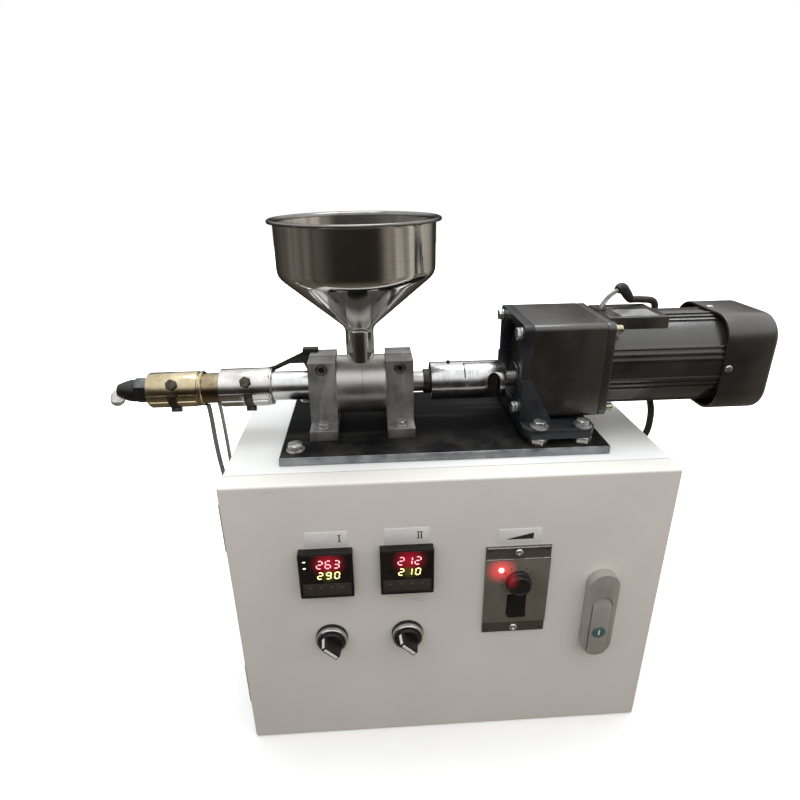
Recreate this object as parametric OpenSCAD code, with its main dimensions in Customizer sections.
// Desktop filament extruder: a small screw extruder with its geared motor on a sheet steel control box.
// Millimetres, +Z up, +X toward the motor, -Y toward the operator.
// The origin is the centre of the control box's underside.

/* [Control box] */
// Width of the control box, left to right
box_w = 400; // [360:1:440]
// Depth of the control box, door included
box_d = 200; // [180:1:240]
// Height of the control box
box_h = 300; // [270:1:340]
// Thickness of the steel sheet
sheet = 1.5; // [1:0.1:2]
// Depth of the door's folded rim
door_depth = 20; // [16:1:26]
// Open seam between the door and the box
seam = 2; // [1.5:0.1:4]
// Width of the flange that frames the door opening
flange_w = 15; // [10:1:25]

/* [Base plate] */
// Length of the black base plate
plate_l = 300; // [290:1:320]
// Width of the base plate, front to back
plate_w = 148; // [142:1:156]
// Thickness of the base plate
plate_t = 8; // [6:0.5:12]
// Offset of the plate's centre from the box's centre
plate_x = -2; // [-10:1:10]

/* [Barrel] */
// Barrel axis, behind the box's centre
axis_y = 7; // [3:1:10]
// Height of the barrel axis over the base plate
axis_h = 41; // [38:0.5:46]
// Outside diameter of the barrel tube
barrel_d = 28.4; // [26:0.1:30]
// Diameter of the thick feed section
feed_d = 57; // [52:0.5:60]
// Bore for the screw
screw_bore_d = 20; // [16:0.5:22]
// Running clearance of the screw, on the radius
run_gap = 0.05; // [0.02:0.01:0.1]
// Width of a barrel clamp along the barrel
clamp_w = 26; // [22:0.5:30]
// Centre of the left barrel clamp
clamp_left_x = -113.8; // [-118:0.2:-108]
// Centre of the right barrel clamp
clamp_right_x = -40.6; // [-46:0.2:-36]
// Height of a barrel clamp
clamp_h = 70; // [66:0.5:76]
// Length of the rear heater band
rear_band_l = 50; // [44:1:54]
// Outside diameter of the rear heater band
rear_band_d = 37; // [33:0.5:40]
// Bare barrel between the left clamp and the rear heater band
bare_l = 38; // [32:0.5:44]
// Heat tinted neck between the two heater bands
neck_l = 16; // [12:0.5:22]
// Length of the front heater band
front_band_l = 54; // [46:1:58]
// Outside diameter of the front heater band
front_band_d = 34; // [31:0.5:38]
// Length of the nozzle
nozzle_l = 28; // [22:0.5:34]

/* [Hopper] */
// Diameter of the hopper's straight wall
hopper_d = 143; // [130:1:155]
// Diameter over the hopper's rolled rim
rim_d = 155; // [145:1:165]
// Height of the straight wall
hopper_wall_h = 48; // [40:1:60]
// Height of the cone
cone_h = 50; // [40:1:60]
// Diameter of the spigot
spigot_d = 26.8; // [22:0.2:30]
// Length of the spigot
spigot_l = 36.5; // [30:0.5:50]
// Thickness of the hopper's sheet
hopper_t = 1.2; // [1:0.1:2]

/* [Drive] */
// Left face of the motor bracket's upright plate
bracket_x = 69; // [66:0.5:74]
// Thickness of the bracket's upright plate
bracket_t = 9; // [7:0.5:11]
// Side of the square gearbox
gear_w = 90; // [84:1:96]
// Length of the gearbox case
gear_l = 66.5; // [60:0.5:75]
// Height of the gearbox centre over its output shaft
shaft_drop = 20; // [18:0.5:22]
// Diameter of the coupling
coupling_d = 37.6; // [34:0.2:40]
// Diameter of the gearbox output shaft
gear_shaft_d = 15; // [12:0.5:18]
// Diameter of the motor body
motor_d = 86; // [80:1:90]
// Distance from the gearbox flange to the far end of the fan cover
motor_l = 152; // [140:1:165]
// Length of the fan cover
fan_l = 62; // [56:1:68]

/* [Front panel] */
// Side of a square temperature controller
controller_w = 48; // [46:0.5:50]
// Height of the controllers' centre
controller_z = 211; // [200:0.5:222]
// Left controller and selector, centre
left_col_x = -113.4; // [-120:0.2:-106]
// Right controller and selector, centre
right_col_x = -41.4; // [-48:0.2:-36]
// Height of the selector switches
selector_z = 132.5; // [125:0.5:140]
// Centre of the speed control unit
speed_x = 60.6; // [54:0.2:68]
// Height of the speed control unit's centre
speed_z = 178; // [170:0.5:186]
// Centre of the lock
lock_x = 142; // [136:0.5:150]
// Height of the lock's centre
lock_z = 149; // [142:0.5:156]

/* [Hidden] */
$fn = 64;

// Main planes of the control box
door_y = -box_d / 2;
rim_y = door_y + door_depth;
front_y = rim_y + seam;
back_y = box_d / 2;
top_z = box_h + plate_t;
axis_z = top_z + axis_h;

// Gap left between parts that only pass through one another
fit = 0.05;

// Stations along the barrel
clamp_half = clamp_w / 2;
feed_left = clamp_left_x + clamp_half;
feed_right = clamp_right_x - clamp_half;
feed_x = (feed_left + feed_right) / 2;
clamp_out = clamp_right_x + clamp_half;
rear_band_right = clamp_left_x - clamp_half - bare_l;
rear_band_left = rear_band_right - rear_band_l;
front_band_right = rear_band_left - neck_l;
front_band_left = front_band_right - front_band_l;
nozzle_tip = front_band_left - nozzle_l;

// Stations along the drive
coupling_left = clamp_out + 17.9;
coupling_right = bracket_x - 6.5;
gear_left = bracket_x + bracket_t;
flange_left = gear_left + gear_l;
flange_t = 8;
motor_left = flange_left + flange_t;
motor_end = motor_left + motor_l;
fan_left = motor_end - fan_l;
gear_z = axis_z + shaft_drop;

// Bolts: across flats, head height, washer radius, washer thickness, shank radius
m8 = [13, 5.5, 8.5, 1.6, 4];
m6 = [10, 4, 6, 1.2, 3];

// Shapes that repeat

// A block between two corners
module block(a, b) {
    translate(a)
        cube(b - a);
}

// A profile in Y and Z, drawn out along +X
module along_x(x0, l) {
    translate([x0, 0, 0])
        rotate([90, 0, 90])
            linear_extrude(l)
                children();
}

// A profile in X and Z, drawn out toward the operator
module toward(y0, l) {
    translate([0, y0, 0])
        rotate([90, 0, 0])
            linear_extrude(l)
                children();
}

// A rod along +X on the barrel axis
module rod(x0, x1, r) {
    translate([x0, axis_y, axis_z])
        rotate([0, 90, 0])
            cylinder(h = x1 - x0, r = r);
}

// A round disc that stands out of the door
module disc(x, z, y0, l, r) {
    translate([x, y0, z])
        rotate([90, 0, 0])
            cylinder(h = l, r = r);
}

// A rectangle with round corners, centred
module round_rect(w, h, r) {
    square([w - 2 * r, h], center = true);
    square([w, h - 2 * r], center = true);
    for (sx = [-1, 1], sy = [-1, 1])
        translate([sx * (w / 2 - r), sy * (h / 2 - r)])
            circle(r);
}

// A hexagon bolt with its washer, seat at z = 0
module hex_bolt(m, shank) {
    cylinder(h = m[3], r = m[2]);
    translate([0, 0, m[3]])
        cylinder(h = m[1], r = m[0] / sqrt(3), $fn = 6);
    translate([0, 0, -shank])
        cylinder(h = shank, r = m[4]);
}

// Points along a smooth curve through the given route
function curve(p, n) = [
    for (i = [0 : len(p) - 2], k = [0 : n - 1])
        let (a = p[max(i - 1, 0)], b = p[i], c = p[i + 1], d = p[min(i + 2, len(p) - 1)], t = k / n)
            0.5 * (2 * b + (c - a) * t + (2 * a - 5 * b + 4 * c - d) * t * t
                + (3 * b - a - 3 * c + d) * t * t * t),
    p[len(p) - 1]];
function unit(v) = v / norm(v);

// A round cord swept along a list of points
module cord(p, r, sides, ref) {
    last = len(p) - 1;
    rings = [
        for (i = [0 : last])
            let (
                t = unit(p[min(i + 1, last)] - p[max(i - 1, 0)]),
                s = unit(cross(t, ref)),
                u = cross(s, t)
            )
                for (k = [0 : sides - 1])
                    p[i] + r * (cos(360 * k / sides) * s + sin(360 * k / sides) * u)];
    walls = [
        for (i = [0 : last - 1], k = [0 : sides - 1])
            let (a = i * sides + k, b = i * sides + (k + 1) % sides)
                [a, a + sides, b + sides, b]];
    start_cap = [for (k = [0 : sides - 1]) k];
    end_cap = [for (k = [sides - 1 : -1 : 0]) last * sides + k];
    polyhedron(points = rings, faces = concat(walls, [start_cap, end_cap]));
}

// Control box: five sheets and the flange round the door opening

module top_panel() {
    color([0.93, 0.93, 0.92])
        block([-box_w / 2, front_y, box_h - sheet], [box_w / 2, back_y, box_h]);
}

module floor_panel() {
    color([0.93, 0.93, 0.92])
        block([-box_w / 2, front_y, 0], [box_w / 2, back_y, sheet]);
}

grommet_r = 7;
lead_z = 226;
cable_z = 258;
cable_y = 22;

module left_wall() {
    color([0.93, 0.93, 0.92])
        difference() {
            block([-box_w / 2, front_y, sheet], [-box_w / 2 + sheet, back_y - sheet, box_h - sheet]);
            translate([-box_w / 2 - 1, axis_y, lead_z])
                rotate([0, 90, 0])
                    cylinder(h = sheet + 2, r = grommet_r);
        }
}

module right_wall() {
    color([0.93, 0.93, 0.92])
        difference() {
            block([box_w / 2 - sheet, front_y, sheet], [box_w / 2, back_y - sheet, box_h - sheet]);
            translate([box_w / 2 - sheet - 1, cable_y, cable_z])
                rotate([0, 90, 0])
                    cylinder(h = sheet + 2, r = grommet_r);
        }
}

module back_wall() {
    color([0.93, 0.93, 0.92])
        block([-box_w / 2, back_y - sheet, sheet], [box_w / 2, back_y, box_h - sheet]);
}

module door_frame() {
    color([0.88, 0.88, 0.87])
        difference() {
            block([-box_w / 2 + sheet, front_y, sheet], [box_w / 2 - sheet, front_y + sheet, box_h - sheet]);
            block([-box_w / 2 + flange_w, front_y - 1, flange_w],
                [box_w / 2 - flange_w, front_y + sheet + 1, box_h - flange_w]);
        }
}

// Hinges on the left edge: two leaves each, one pin, turning on the seam
hinge_x = -box_w / 2 - 3.5;
hinge_y = rim_y + seam / 2;
hinge_r = 3.4;
hinge_pin_r = 1.5;
hinge_l = 50;
leaf_w = 16;
leaf_t = 1.5;
hinge_zs = [box_h * 0.18, box_h * 0.82];

module hinge_barrel(z, l) {
    translate([hinge_x, hinge_y, z - l / 2])
        cylinder(h = l, r = hinge_r);
}

module box_hinge_leaves() {
    color([0.75, 0.75, 0.75])
        for (z = hinge_zs) {
            difference() {
                union() {
                    hinge_barrel(z, hinge_l);
                    block([hinge_x - hinge_r, hinge_y + 1.6, z - hinge_l / 2],
                        [-box_w / 2, hinge_y + hinge_r, z + hinge_l / 2]);
                }
                block([hinge_x - 6, hinge_y - 6, z - hinge_l / 6],
                    [-box_w / 2 + 1, hinge_y + 6, z + hinge_l / 6]);
            }
            translate([hinge_x, hinge_y, z - hinge_l / 2])
                cylinder(h = hinge_l, r = hinge_pin_r);
            block([-box_w / 2 - leaf_t, hinge_y + hinge_r, z - hinge_l / 2],
                [-box_w / 2, hinge_y + leaf_w, z + hinge_l / 2]);
        }
}

module door_hinge_leaves() {
    color([0.75, 0.75, 0.75])
        for (z = hinge_zs) {
            difference() {
                union() {
                    hinge_barrel(z, hinge_l / 3 - 0.6);
                    block([hinge_x, hinge_y - hinge_r, z - hinge_l / 6 + 0.3],
                        [-box_w / 2, hinge_y - 1.9, z + hinge_l / 6 - 0.3]);
                }
                translate([hinge_x, hinge_y, z - hinge_l])
                    cylinder(h = 2 * hinge_l, r = hinge_pin_r + run_gap);
            }
            block([-box_w / 2 - leaf_t, hinge_y - leaf_w, z - hinge_l / 6 + 0.3],
                [-box_w / 2, hinge_y - hinge_r, z + hinge_l / 6 - 0.3]);
        }
}

// Base plate and its bolts
plate_front = axis_y - plate_w / 2;
plate_left = plate_x - plate_l / 2;
plate_bolt_x = plate_left + 13.5;
plate_bolt_dy = plate_w / 2 - 15;

module base_plate() {
    color([0.07, 0.07, 0.075])
        difference() {
            block([plate_left, plate_front, box_h], [plate_left + plate_l, plate_front + plate_w, top_z]);
            for (s = [-1, 1])
                translate([plate_bolt_x, axis_y + s * plate_bolt_dy, box_h - 1])
                    cylinder(h = plate_t + 2, r = m8[4] + fit);
        }
}

module plate_bolts() {
    color([0.72, 0.72, 0.7])
        for (s = [-1, 1])
            translate([plate_bolt_x, axis_y + s * plate_bolt_dy, top_z])
                rotate([0, 0, 12])
                    hex_bolt(m8, plate_t);
    color([0.66, 0.66, 0.65])
        for (x = [clamp_left_x, clamp_right_x], s = [-1, 1])
            translate([x, axis_y + s * clamp_bolt_dy, top_z + clamp_foot_h])
                rotate([0, 0, 20])
                    hex_bolt(m6, clamp_foot_h);
}

// Barrel clamps: aluminium shaft supports with a slit top
clamp_foot_w = 84;
clamp_foot_h = 9.6;
clamp_block_w = 44;
clamp_bolt_dy = 33;
clamp_screw_h = 63;
slit_w = 2;

module clamp(x) {
    color([0.55, 0.55, 0.54])
        difference() {
            union() {
                block([x - clamp_half, axis_y - clamp_foot_w / 2, top_z],
                    [x + clamp_half, axis_y + clamp_foot_w / 2, top_z + clamp_foot_h]);
                block([x - clamp_half, axis_y - clamp_block_w / 2, top_z],
                    [x + clamp_half, axis_y + clamp_block_w / 2, top_z + clamp_h]);
            }
            rod(x - clamp_w, x + clamp_w, barrel_d / 2 + fit);
            block([x - clamp_w, axis_y - slit_w / 2, axis_z], [x + clamp_w, axis_y + slit_w / 2, top_z + clamp_h + 1]);
            translate([x, axis_y - clamp_block_w / 2 - 1, top_z + clamp_screw_h])
                rotate([-90, 0, 0])
                    cylinder(h = 8, r = 5.6);
            for (s = [-1, 1])
                translate([x, axis_y + s * clamp_bolt_dy, top_z - 1])
                    cylinder(h = clamp_foot_h + 2, r = m6[4] + fit);
        }
}

module clamp_left() {
    clamp(clamp_left_x);
}

module clamp_right() {
    clamp(clamp_right_x);
}

module clamp_screws() {
    color([0.06, 0.06, 0.06])
        for (x = [clamp_left_x, clamp_right_x])
            translate([x, axis_y - clamp_block_w / 2 + 7, top_z + clamp_screw_h])
                rotate([90, 0, 0])
                    difference() {
                        cylinder(h = 6.4, r = 5);
                        translate([0, 0, 2.4])
                            cylinder(h = 6, r = 5 / sqrt(3), $fn = 6);
                    }
}

// Dark strap: hooked over the left clamp's rear corner, then tapering along behind the barrel
strap_gap = 0.4;
hook_w = 9;

module stop_strap() {
    face_x = clamp_left_x - clamp_half;
    deck_z = top_z + clamp_h;
    back = axis_y + clamp_block_w / 2;
    color([0.05, 0.05, 0.055]) {
        toward(back, clamp_block_w / 2 - rear_band_d / 2 - strap_gap)
            polygon([
                [face_x, deck_z], [face_x, deck_z - 20], [face_x - 5, deck_z - 20], [face_x - 8, deck_z - 13],
                [face_x - 22, deck_z - 13], [face_x - 38, deck_z - 20], [face_x - 57, deck_z - 24],
                [face_x - 57, deck_z - 20.5], [face_x - 37, deck_z - 15], [face_x - 21, deck_z - 7.5],
                [face_x - 8, deck_z - 1.5], [face_x - 7.5, deck_z]]);
        block([face_x - 7.5, back - hook_w, deck_z], [face_x + 7.5, back, deck_z + 3.4]);
    }
}

// Barrel, feed section and hopper
spigot_seat = 7;
spigot_bottom = axis_z + feed_d / 2 - spigot_seat;
cone_bottom = spigot_bottom + spigot_l;
wall_bottom = cone_bottom + cone_h;
rim_z = wall_bottom + hopper_wall_h;

module feed_section() {
    color([0.6, 0.6, 0.59])
        difference() {
            union() {
                rod(feed_left, feed_right, feed_d / 2);
                rod(feed_right, clamp_out, barrel_d / 2);
            }
            rod(feed_left + 2, clamp_out + 1, screw_bore_d / 2);
            translate([feed_x, axis_y, axis_z])
                cylinder(h = feed_d, r = spigot_d / 2 - hopper_t);
            translate([feed_x, axis_y, spigot_bottom])
                cylinder(h = feed_d, r = spigot_d / 2 + fit);
        }
}

module barrel_tube() {
    color([0.72, 0.72, 0.72]) {
        rod(front_band_left, rear_band_left, barrel_d / 2 + 0.4);
        rod(rear_band_left, feed_left, barrel_d / 2);
    }
}

module hopper() {
    color([0.7, 0.69, 0.67])
        translate([feed_x, axis_y, 0])
            rotate_extrude()
                polygon([
                    [spigot_d / 2 - hopper_t, spigot_bottom], [spigot_d / 2, spigot_bottom],
                    [spigot_d / 2, cone_bottom], [hopper_d / 2, wall_bottom],
                    [hopper_d / 2, rim_z - 3], [rim_d / 2 - 1, rim_z - 3],
                    [rim_d / 2 - 1, rim_z], [hopper_d / 2 - hopper_t, rim_z],
                    [hopper_d / 2 - hopper_t, wall_bottom + 0.6], [spigot_d / 2 - hopper_t, cone_bottom + 0.6]]);
}

module band(x0, x1, d) {
    difference() {
        rod(x0, x1, d / 2);
        rod(x0 - 1, x1 + 1, barrel_d / 2 + 0.4 + fit);
    }
}

module rear_heater_band() {
    color([0.66, 0.65, 0.62])
        band(rear_band_left, rear_band_right, rear_band_d);
}

module front_heater_band() {
    color([0.62, 0.5, 0.26])
        band(front_band_left, front_band_right, front_band_d);
}

// Screws that close the heater bands, toward the operator and below
band_screw_r = 4.2;
band_screw_h = 3.2;

module band_screw(x, d, turn) {
    difference() {
        translate([x, axis_y, axis_z])
            rotate([turn, 0, 0])
                translate([0, 0, d / 2 - 0.8])
                    cylinder(h = band_screw_h + 0.8, r = band_screw_r, $fn = 6);
        rod(x - 10, x + 10, d / 2 + fit);
    }
}

module band_screws() {
    color([0.3, 0.28, 0.24]) {
        band_screw((front_band_left + front_band_right) / 2 - 1, front_band_d, 62);
        band_screw((front_band_left + front_band_right) / 2 + 3, front_band_d, 160);
        band_screw((rear_band_left + rear_band_right) / 2 - 1, rear_band_d, 62);
        band_screw((rear_band_left + rear_band_right) / 2 + 5, rear_band_d, 160);
    }
}

nozzle_hex = 22;
nozzle_hex_l = 13;
tip_d = 13;

module nozzle() {
    color([0.05, 0.05, 0.055])
        difference() {
            union() {
                translate([front_band_left, axis_y, axis_z])
                    rotate([0, -90, 0])
                        cylinder(h = nozzle_hex_l, r = nozzle_hex / sqrt(3), $fn = 6);
                translate([front_band_left - nozzle_hex_l, axis_y, axis_z])
                    rotate([0, -90, 0])
                        cylinder(h = nozzle_l - nozzle_hex_l, r1 = nozzle_hex / 2, r2 = tip_d / 2);
            }
            rod(nozzle_tip - 1, nozzle_tip + 8, 2);
        }
}

module melt_bead() {
    color([0.75, 0.74, 0.7])
        union() {
            difference() {
                translate([nozzle_tip - 2.6, axis_y - 1, axis_z - 3])
                    sphere(r = 4.6);
                block([nozzle_tip, axis_y - 10, axis_z - 10], [nozzle_tip + 10, axis_y + 10, axis_z + 10]);
            }
            rod(nozzle_tip - 1.5, nozzle_tip + 6, 1.9);
        }
}

// Motor bracket: an upright plate with a window, gussets and a foot on spacer nuts
foot_dy = 70;
foot_lift = 7;
foot_t = 9;
foot_l = 66;
foot_bolt_dy = 62;
foot_bolt_xs = [bracket_x + 15, bracket_x + 55];
gusset_t = 5;
window_r = 38;
screw_off = gear_w / 2 - 9;
foot_z = top_z + foot_lift;

module bracket_foot_outline() {
    polygon([
        [bracket_x, axis_y - foot_dy + 8], [bracket_x + 6, axis_y - foot_dy],
        [bracket_x + foot_l - 6, axis_y - foot_dy], [bracket_x + foot_l, axis_y - foot_dy + 8],
        [bracket_x + foot_l, axis_y - gear_w / 2 - 0.5], [gear_left, axis_y - gear_w / 2 - 0.5],
        [gear_left, axis_y + gear_w / 2 + 0.5], [bracket_x + foot_l, axis_y + gear_w / 2 + 0.5],
        [bracket_x + foot_l, axis_y + foot_dy - 8], [bracket_x + foot_l - 6, axis_y + foot_dy],
        [bracket_x + 6, axis_y + foot_dy], [bracket_x, axis_y + foot_dy - 8]]);
}

module motor_bracket() {
    color([0.05, 0.055, 0.07])
        difference() {
            union() {
                translate([0, 0, foot_z])
                    linear_extrude(foot_t)
                        bracket_foot_outline();
                along_x(bracket_x, bracket_t)
                    translate([axis_y, gear_z])
                        round_rect(gear_w, gear_w, 6);
                block([bracket_x, axis_y - gear_w / 2 - gusset_t, foot_z],
                    [gear_left, axis_y + gear_w / 2 + gusset_t, gear_z - 5]);
                for (s = [-1, 1])
                    toward(axis_y + s * (gear_w / 2 + 2.75) + 2.25, 4.5)
                        polygon([
                            [bracket_x, foot_z], [gear_left + 21, foot_z],
                            [gear_left + 21, foot_z + foot_t], [gear_left, gear_z - 5], [bracket_x, gear_z - 5]]);
            }
            along_x(bracket_x - 1, bracket_t + 2)
                translate([axis_y, gear_z])
                    circle(window_r);
            for (sy = [-1, 1], sz = [-1, 1])
                translate([bracket_x - 1, axis_y + sy * screw_off, gear_z + sz * screw_off])
                    rotate([0, 90, 0])
                        cylinder(h = bracket_t + 2, r = 3 + fit);
            for (x = foot_bolt_xs, s = [-1, 1])
                translate([x, axis_y + s * foot_bolt_dy, foot_z - 1])
                    cylinder(h = foot_t + 2, r = m8[4] + fit);
        }
}

module bracket_bolts() {
    color([0.72, 0.72, 0.7])
        for (x = foot_bolt_xs, s = [-1, 1]) {
            translate([x, axis_y + s * foot_bolt_dy, foot_z + foot_t])
                rotate([0, 0, 8])
                    hex_bolt(m8, foot_t + foot_lift);
            translate([x, axis_y + s * foot_bolt_dy, top_z])
                rotate([0, 0, 14])
                    cylinder(h = foot_lift, r = m8[0] / sqrt(3), $fn = 6);
        }
    color([0.72, 0.72, 0.7])
        for (sy = [-1, 1], sz = [-1, 1])
            translate([bracket_x, axis_y + sy * screw_off, gear_z + sz * screw_off])
                rotate([0, -90, 0]) {
                    cylinder(h = 1.2, r = 6);
                    cylinder(h = 5, r = 5 / cos(30), $fn = 6);
                    translate([0, 0, -bracket_t])
                        cylinder(h = bracket_t, r = 3);
                }
}

// Gearbox with its boss round the low output shaft
boss_d = 34;
boss_l = 5;

module gearbox() {
    color([0.12, 0.11, 0.1])
        difference() {
            union() {
                along_x(gear_left, gear_l)
                    translate([axis_y, gear_z])
                        round_rect(gear_w, gear_w, 6);
                rod(gear_left - boss_l, gear_left, boss_d / 2);
            }
            rod(gear_left - boss_l - 1, gear_left + 6, gear_shaft_d / 2 + run_gap);
        }
}

module gearbox_flange() {
    color([0.11, 0.1, 0.095])
        along_x(flange_left, flange_t)
            translate([axis_y, gear_z])
                round_rect(gear_w, gear_w, 7);
}

// Motor body with groups of long ribs, and the end shield that carries the fan cover
shield_left = fan_left + 28;
shield_t = 10;
rib_h = 1.6;
rib_angles = [12, 19, 26, 64, 71, 78, 102, 109, 116, 154, 161, 168, 192, 199, 206, 244, 251, 258, 282, 289, 296,
    334, 341, 348];

module motor_body() {
    color([0.13, 0.12, 0.11])
        union() {
            along_x(motor_left, shield_left - motor_left)
                translate([axis_y, gear_z]) {
                    circle(motor_d / 2 - rib_h);
                    for (a = rib_angles)
                        rotate(a)
                            translate([motor_d / 2 - 6, -1.1])
                                square([6, 2.2]);
                }
            along_x(shield_left, shield_t)
                translate([axis_y, gear_z])
                    fan_outline(fan_w - 2 * fan_wall - 2 * fit, 22);
        }
}

pad_l = 56;
pad_w = 62;
pad_h = 45.5;

module terminal_pad() {
    color([0.1, 0.095, 0.09])
        difference() {
            block([motor_left, axis_y - pad_w / 2, gear_z + 24], [motor_left + pad_l, axis_y + pad_w / 2, gear_z + pad_h]);
            along_x(motor_left - 1, pad_l + 2)
                translate([axis_y, gear_z])
                    circle(motor_d / 2 + fit);
            translate([wire_x, wire_y, gear_z])
                cylinder(h = pad_h + 2, r = wire_hole_r);
        }
}

fan_w = 94;
fan_wall = 2;
fan_scallop_r = 42;
fan_bevel = 4;
fan_reach = 57;

module fan_outline(w, r) {
    round_rect(w, w, r);
}

module fan_cover() {
    color([0.13, 0.12, 0.115])
        difference() {
            intersection() {
                along_x(fan_left, fan_l)
                    translate([axis_y, gear_z])
                        fan_outline(fan_w, 24);
                union() {
                    translate([fan_left - 1, axis_y, gear_z])
                        rotate([0, 90, 0])
                            cylinder(h = fan_l - fan_bevel + 1, r = fan_reach);
                    translate([motor_end - fan_bevel, axis_y, gear_z])
                        rotate([0, 90, 0])
                            cylinder(h = fan_bevel, r1 = fan_reach, r2 = fan_reach - fan_bevel);
                }
            }
            along_x(fan_left - 1, fan_l - fan_wall - fan_bevel)
                translate([axis_y, gear_z])
                    fan_outline(fan_w - 2 * fan_wall, 22);
            for (s = [-1, 1]) {
                translate([motor_end, axis_y + s * fan_w / 2, gear_z])
                    rotate([0, 0, 45])
                        cube([fan_bevel * sqrt(2), fan_bevel * sqrt(2), 2 * fan_w], center = true);
                translate([motor_end, axis_y, gear_z + s * fan_w / 2])
                    rotate([0, 45, 0])
                        cube([fan_bevel * sqrt(2), 2 * fan_w, fan_bevel * sqrt(2)], center = true);
            }
            translate([fan_left + 22 - fan_scallop_r, axis_y + fan_w, gear_z])
                rotate([90, 0, 0])
                    cylinder(h = 2 * fan_w, r = fan_scallop_r);
            translate([fan_left + 22 - fan_scallop_r, axis_y, gear_z - fan_w])
                cylinder(h = 2 * fan_w, r = fan_scallop_r);
        }
}

module motor_screws() {
    color([0.66, 0.62, 0.5])
        for (sy = [-1, 1], sz = [-1, 1])
            translate([motor_left, axis_y + sy * (gear_w / 2 - 7), gear_z + sz * (gear_w / 2 - 7)])
                rotate([0, 90, 0]) {
                    cylinder(h = 1.2, r = 5.4);
                    cylinder(h = 7.5, r = 4);
                }
    color([0.7, 0.69, 0.66])
        for (s = [-1, 1]) {
            translate([fan_left + 27, axis_y - s * fan_w / 2, gear_z - 11])
                rotate([s * 90, 0, 0])
                    cylinder(h = 2, r = 3.6);
            translate([fan_left + 27, axis_y, gear_z + s * fan_w / 2])
                rotate([s > 0 ? 0 : 180, 0, 0])
                    cylinder(h = 2, r = 3.6);
        }
}

// Motor lead: wires out of the pad, a boot, then the cable over the motor and down to the box
wire_x = motor_left + 5;
wire_y = axis_y + 8;
wire_hole_r = 3.6;
wire_top = gear_z + pad_h;
boot_a = [wire_x + 17, wire_y + 6, wire_top + 17];
boot_b = [wire_x + 34, wire_y + 12, wire_top + 6];

module motor_wires() {
    color([0.5, 0.5, 0.5])
        cord(curve([[wire_x, wire_y, wire_top - 2.5], [wire_x + 1, wire_y + 0.3, wire_top + 3.5],
            [wire_x + 8, wire_y + 3, wire_top + 12], boot_a], 4), 2.6, 8, [0, 1, 0]);
}

module cable_boot() {
    color([0.04, 0.04, 0.04])
        cord(curve([boot_a, boot_a + [5, 2, 2], boot_a + [11, 4, -4], boot_b], 4), 5, 10, [0, 1, 0]);
}

module motor_cable() {
    color([0.03, 0.03, 0.03])
        cord(curve([boot_b, boot_b + [16, 9, -2.2], boot_b + [36, 22, -8], boot_b + [46, 38, -26],
            boot_b + [41, 44, -60], boot_b + [43, 29, -92], boot_b + [44, 8, -118], [box_w / 2 + 34, cable_y + 6, cable_z + 28],
            [box_w / 2 + 30, cable_y + 3, cable_z + 14], [box_w / 2 + 20, cable_y + 1, cable_z + 4],
            [box_w / 2 + 9, cable_y, cable_z + 0.2], [box_w / 2 + 4.3, cable_y, cable_z]], 5), 3.5, 8, [0.2, 0.5, 0.3]);
}

// Leads from the heated barrel to the left wall
lead_x = front_band_right + neck_l / 2;
lead_top = axis_z - barrel_d / 2 - 1.6;

module heater_lead() {
    color([0.3, 0.29, 0.28])
        cord(curve([[lead_x - 5, axis_y - 3, lead_top], [lead_x - 4, axis_y - 3, lead_top - 12],
            [lead_x - 3, axis_y - 3, lead_top - 50], [lead_x, axis_y - 3, lead_top - 82],
            [lead_x + 4, axis_y - 3, lead_z + 8], [-box_w / 2 - 11, axis_y - 3, lead_z + 0.8],
            [-box_w / 2 - 4.3, axis_y - 3, lead_z + 0.4]], 4), 2.2, 8, [0, 1, 0]);
}

module sensor_lead() {
    color([0.62, 0.6, 0.56])
        cord(curve([[lead_x + 4, axis_y + 3, lead_top], [lead_x + 5, axis_y + 3, lead_top - 12],
            [lead_x + 6, axis_y + 3, lead_top - 40], [lead_x + 7, axis_y + 3, lead_top - 82],
            [lead_x + 8, axis_y + 3, lead_z + 8], [-box_w / 2 - 10.4, axis_y + 3, lead_z + 0.9],
            [-box_w / 2 - 4.3, axis_y + 3, lead_z + 0.4]], 4), 1.8, 8, [0, 1, 0]);
}

module grommet(x, y, z, s) {
    translate([x, y, z])
        rotate([0, s * 90, 0]) {
            cylinder(h = 4, r = grommet_r + 3);
            translate([0, 0, -sheet - 2])
                cylinder(h = sheet + 2, r = grommet_r - fit);
        }
}

module wall_grommets() {
    color([0.05, 0.05, 0.05]) {
        grommet(-box_w / 2, axis_y, lead_z, -1);
        grommet(box_w / 2, cable_y, cable_z, 1);
    }
}

// Door: a folded tray, cut out behind the instruments
cutout_w = controller_w - 3;
speed_w = 60;
speed_h = 100;
speed_body_w = 52;
speed_body_h = 76;
selector_stem_r = 11;

module door_panel() {
    color([0.9, 0.89, 0.87])
        difference() {
            block([-box_w / 2, door_y, 0], [box_w / 2, rim_y, box_h]);
            block([-box_w / 2 + sheet, door_y + sheet, sheet], [box_w / 2 - sheet, rim_y + 1, box_h - sheet]);
            for (x = [left_col_x, right_col_x]) {
                toward(door_y + sheet + 1, sheet + 2)
                    translate([x, controller_z])
                        square(cutout_w, center = true);
                disc(x, selector_z, door_y + sheet + 1, sheet + 2, selector_stem_r);
            }
            toward(door_y + sheet + 1, sheet + 2)
                translate([speed_x, speed_z])
                    square([speed_body_w, speed_body_h], center = true);
        }
}

// Controllers: a square bezel outside, the case behind the door
bezel_h = 8.8;
case_depth = 60;

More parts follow.
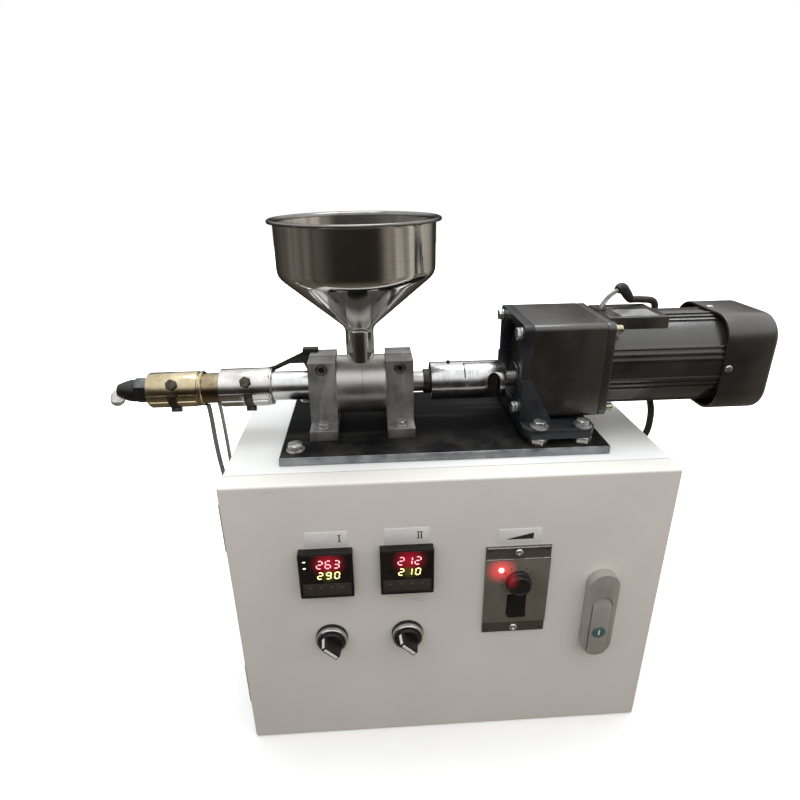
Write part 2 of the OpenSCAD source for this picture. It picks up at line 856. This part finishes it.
module controller(x) {
    color([0.05, 0.045, 0.045])
        difference() {
            union() {
                toward(door_y, bezel_h)
                    translate([x, controller_z])
                        round_rect(controller_w, controller_w, 1.5);
                toward(door_y + case_depth, case_depth)
                    translate([x, controller_z])
                        square(cutout_w - 2 * fit, center = true);
            }
            toward(door_y - bezel_h + 1.2, 2)
                translate([x, controller_z])
                    square(controller_w - 5, center = true);
        }
}

module controllers() {
    controller(left_col_x);
    controller(right_col_x);
}

label_t = 0.6;
label_rise = 33.5;
left_label = [38, 15];
right_label = [40, 16];
speed_label = [41, 17];
speed_label_rise = 60;

module label(x, z, size) {
    toward(door_y, label_t)
        translate([x, z])
            square(size, center = true);
}

module door_labels() {
    color([0.92, 0.92, 0.9]) {
        label(left_col_x + 1.4, controller_z + label_rise, left_label);
        label(right_col_x + 0.4, controller_z + label_rise, right_label);
        label(speed_x + 0.9, speed_z + speed_label_rise, speed_label);
    }
}

// Selector switches: gasket, bright ring and a stem through the door
ring_r = 14.6;
ring_h = 8;
gasket_h = 2;
knob_r = 11.6;
knob_well = 1;

module selector_ring(x) {
    difference() {
        union() {
            disc(x, selector_z, door_y, gasket_h, ring_r + 0.4);
            disc(x, selector_z, door_y - gasket_h, ring_h - gasket_h, ring_r);
            disc(x, selector_z, door_y + 40, 40, selector_stem_r - fit);
        }
        disc(x, selector_z, door_y - knob_well, ring_h, knob_r + 0.4);
        disc(x, selector_z, door_y + 20, 40, 3 + run_gap);
    }
}

module selector_rings() {
    color([0.7, 0.7, 0.7]) {
        selector_ring(left_col_x);
        selector_ring(right_col_x);
    }
}

knob_h = 9;
grip_w = 8;
grip_h = 11;

module selector_knob(x) {
    color([0.03, 0.03, 0.03]) {
        disc(x, selector_z, door_y - knob_well - 0.4, knob_h, knob_r);
        disc(x, selector_z, door_y + 18, 18 + knob_well + 1, 3);
        translate([x, door_y - knob_well - 0.4 - knob_h, selector_z])
            rotate([0, -45, 0])
                block([-grip_w / 2, -grip_h, -knob_r + 1], [grip_w / 2, 0, knob_r - 1]);
    }
}

module selector_knob_left() {
    selector_knob(left_col_x);
}

module selector_knob_right() {
    selector_knob(right_col_x);
}

// Speed control unit: a stepped face plate, a lamp, a knob and a rocker
speed_t = 3;
step_h = 13;
dial_x = speed_x + 0.7;
dial_z = speed_z + 12.4;
rocker_x = speed_x + 0.9;
rocker_z = speed_z - 16;
rocker_w = 17;
rocker_h = 22;
lamp_x = speed_x - 15.5;
lamp_z = speed_z + 22;

module speed_unit() {
    color([0.45, 0.43, 0.4])
        difference() {
            union() {
                toward(door_y, 1.6)
                    translate([speed_x, speed_z])
                        square([speed_w, speed_h], center = true);
                toward(door_y, speed_t)
                    translate([speed_x, speed_z])
                        square([speed_w, speed_h - 2 * step_h], center = true);
                toward(door_y + 50, 50)
                    translate([speed_x, speed_z])
                        square([speed_body_w - 2 * fit, speed_body_h - 2 * fit], center = true);
                disc(lamp_x, lamp_z, door_y, speed_t + 2, 2.4);
                for (s = [-1, 1])
                    disc(speed_x, speed_z + s * (speed_h / 2 - 6), door_y, 4, 4);
            }
            toward(door_y + 8, 20)
                translate([rocker_x, rocker_z])
                    square([rocker_w + 1.4, rocker_h + 3], center = true);
            rocker_pin(rocker_pin_l + 0.4, rocker_pin_r + run_gap);
            disc(dial_x, dial_z, door_y + 12, 30, 3 + run_gap);
        }
}

dial_r = 11.4;
dial_h = 15;

module speed_knob() {
    color([0.04, 0.04, 0.04]) {
        disc(dial_x, dial_z, door_y - speed_t - 0.6, 4, dial_r);
        disc(dial_x, dial_z, door_y - speed_t - 0.6, dial_h, dial_r - 2.2);
        disc(dial_x, dial_z, door_y + 10, 10 + speed_t + 2, 3);
    }
}

rocker_pivot_y = door_y + 1;
rocker_pin_r = 1.5;
rocker_pin_l = 23;

module rocker_pin(l, r) {
    translate([rocker_x - l / 2, rocker_pivot_y, rocker_z])
        rotate([0, 90, 0])
            cylinder(h = l, r = r);
}

module run_rocker() {
    color([0.03, 0.03, 0.03]) {
        along_x(rocker_x - rocker_w / 2, rocker_w)
            polygon([
                [door_y - speed_t - 0.5, rocker_z + rocker_h / 2], [door_y - speed_t + 0.5, rocker_z],
                [door_y - speed_t - 4.5, rocker_z - rocker_h / 2], [door_y + 1, rocker_z - rocker_h / 2 + 2],
                [door_y + 4, rocker_z], [door_y + 1, rocker_z + rocker_h / 2 - 1]]);
        rocker_pin(rocker_pin_l, rocker_pin_r);
    }
}

// Lock: a long oval body with a flush handle that lifts from below
lock_w = 28;
lock_l = 96;
lock_t = 10;
handle_w = 18;
handle_l = 68;
handle_t = 6;
handle_top = lock_z + lock_l / 2 - 27;
handle_gap = 0.6;
handle_half = (handle_t + 1) / 2;
handle_pin_r = 1.5;
handle_pin_l = 24;
handle_bevel = 10.5;

module slot_outline(w, z0, z1) {
    translate([lock_x, (z0 + z1) / 2])
        round_rect(w, z1 - z0, w / 2 - 0.01);
}

// A bar across the lock on the line that the handle turns about
module handle_bar(l, r) {
    translate([lock_x - l / 2, door_y - lock_t + handle_t - handle_half, handle_top - handle_half])
        rotate([0, 90, 0])
            cylinder(h = l, r = r);
}

module lock_body() {
    color([0.72, 0.7, 0.68])
        difference() {
            toward(door_y, lock_t)
                slot_outline(lock_w, lock_z - lock_l / 2, lock_z + lock_l / 2);
            toward(door_y - lock_t + handle_t + 1, lock_t)
                slot_outline(handle_w + 2 * handle_gap, lock_z - lock_l, handle_top + 2 * handle_gap);
            handle_bar(handle_pin_l + 0.4, handle_pin_r + run_gap);
        }
}

module lock_handle() {
    face = door_y - lock_t - 1;
    color([0.72, 0.7, 0.67]) {
        difference() {
            intersection() {
                toward(door_y - lock_t + handle_t, handle_t + 1)
                    slot_outline(handle_w, lock_z - lock_l, handle_top);
                toward(door_y, lock_t + 2)
                    slot_outline(lock_w, lock_z - lock_l / 2, lock_z + lock_l / 2);
                union() {
                    block([lock_x - lock_w, face, lock_z - lock_l],
                        [lock_x + lock_w, door_y, handle_top - handle_half]);
                    handle_bar(2 * lock_w, handle_half);
                }
            }
            along_x(lock_x - lock_w, 2 * lock_w)
                polygon([
                    [face - 2, handle_top - handle_bevel], [face, handle_top - handle_bevel],
                    [face + 3, handle_top + 0.5], [face + 3, handle_top + 2], [face - 2, handle_top + 2]]);
        }
        handle_bar(handle_pin_l, handle_pin_r);
    }
}

// Turning line: screw, collar, coupling and gearbox shaft
collar_d = 24;
collar_l = 7;

module feed_screw() {
    color([0.6, 0.6, 0.6]) {
        rod(feed_left + 2.5, coupling_left - collar_l, screw_bore_d / 2 - run_gap);
        rod(coupling_left - collar_l, coupling_left, collar_d / 2);
    }
}

// Clamping slot in the coupling: width, height, distance of its middle from the right end
slot_w = 12.6;
slot_h = 28;
slot_in = 12.2;

module coupling() {
    color([0.66, 0.65, 0.64])
        difference() {
            rod(coupling_left, coupling_right, coupling_d / 2);
            translate([coupling_right - slot_in, axis_y, axis_z])
                rotate([99, 0, 0])
                    translate([0, 0, gear_shaft_d / 2])
                        linear_extrude(coupling_d) {
                            translate([-slot_w / 2, -slot_h / 2])
                                square([slot_w, slot_h - slot_w / 2]);
                            translate([0, slot_h / 2 - slot_w / 2])
                                circle(slot_w / 2);
                        }
        }
}

module gear_shaft() {
    color([0.5, 0.5, 0.5])
        rod(coupling_right, gear_left + 5, gear_shaft_d / 2);
}

top_panel();
floor_panel();
left_wall();
right_wall();
back_wall();
door_frame();
box_hinge_leaves();
base_plate();
plate_bolts();
clamp_left();
clamp_right();
clamp_screws();
stop_strap();
feed_section();
barrel_tube();
hopper();
rear_heater_band();
front_heater_band();
band_screws();
nozzle();
melt_bead();
motor_bracket();
bracket_bolts();
gearbox();
gearbox_flange();
motor_body();
terminal_pad();
fan_cover();
motor_screws();
motor_cable();
motor_wires();
cable_boot();
heater_lead();
sensor_lead();
wall_grommets();
door_panel();
door_hinge_leaves();
controllers();
door_labels();
selector_rings();
speed_unit();
lock_body();
selector_knob_left();
selector_knob_right();
speed_knob();
run_rocker();
lock_handle();
feed_screw();
coupling();
gear_shaft();
